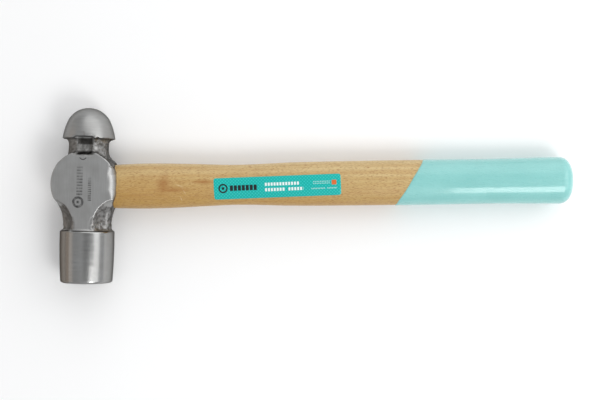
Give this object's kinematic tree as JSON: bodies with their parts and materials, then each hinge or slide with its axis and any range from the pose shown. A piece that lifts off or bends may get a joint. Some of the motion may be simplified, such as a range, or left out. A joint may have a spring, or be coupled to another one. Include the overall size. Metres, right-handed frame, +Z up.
{
  "type": "ball peen hammer",
  "caption": "Ball peen hammer: forged steel head with a round striking face and a domed peen, wedged onto an oval beech handle with a painted grip.",
  "frame": {"origin": "middle of the hammer's footprint, at the height of the surface that the bell of the head lies on", "axes": "+X along the handle from the head towards the butt, +Y along the head from the striking face towards the peen, +Z up, square to the two ground cheeks"},
  "size_m": [0.3358, 0.1138, 0.035],
  "materials": {
    "head_steel": "ground bright on the cheeks, bell and peen; as forged in the hollows",
    "beech": "sanded and lightly varnished",
    "wedge_wood": "end grain, sanded flush",
    "wedge_steel": "ground flush with the tenon",
    "mint_paint": "thick glossy dip paint",
    "label_film": null
  },
  "bodies": {
    "root": {"head": "head_steel", "handle": "beech", "wood_wedge": "wedge_wood", "steel_wedge_lower": "wedge_steel", "steel_wedge_upper": "wedge_steel", "paint": "mint_paint", "label": "label_film"}
  },
  "joints": []
}
